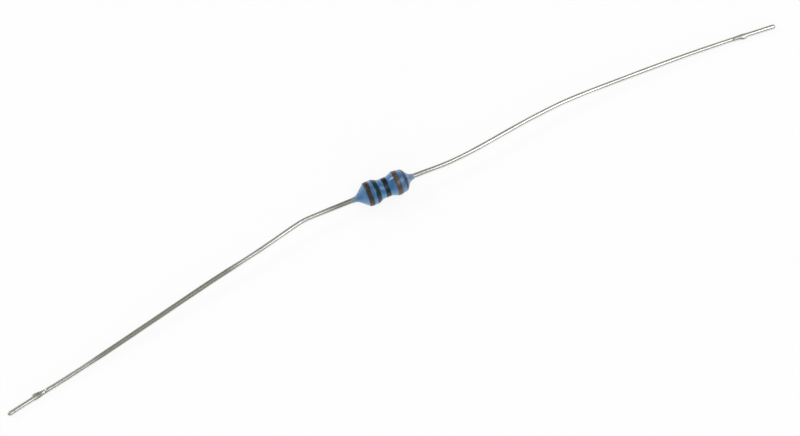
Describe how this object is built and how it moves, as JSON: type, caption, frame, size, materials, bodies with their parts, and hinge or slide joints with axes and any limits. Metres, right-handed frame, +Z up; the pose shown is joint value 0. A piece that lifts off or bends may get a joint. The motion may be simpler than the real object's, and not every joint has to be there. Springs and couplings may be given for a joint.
{
  "type": "axial film resistor",
  "caption": "Small axial metal film resistor in blue lacquer, with painted colour code rings and bent tinned wire leads.",
  "frame": {"origin": "middle of the footprint, on the table that the resistor lies on", "axes": "+X along the body's axis and the leads, from the first colour band to the last; +Z up from the table"},
  "size_m": [0.0636, 0.0066, 0.0019],
  "materials": {
    "ceramic": "white alumina ceramic, matte",
    "film": "nickel-chromium film, grey and smooth",
    "cap_steel": "tinned pressed steel",
    "tinned_wire": "bright tin, drawn, a little oxidised",
    "blue_lacquer": "glossy blue epoxy lacquer",
    "brown_paint": "brown colour code paint",
    "dark_green_paint": "very dark green colour code paint",
    "black_paint": "black colour code paint"
  },
  "bodies": {
    "root": {"ceramic_core": "ceramic", "resistive_film": "film", "left_end_cap": "cap_steel", "right_end_cap": "cap_steel", "left_lead": "tinned_wire", "right_lead": "tinned_wire", "lacquer_coat": "blue_lacquer", "first_digit_band": "brown_paint", "second_digit_band": "dark_green_paint", "third_digit_band": "black_paint", "multiplier_band": "brown_paint", "tolerance_band": "brown_paint"}
  },
  "joints": []
}
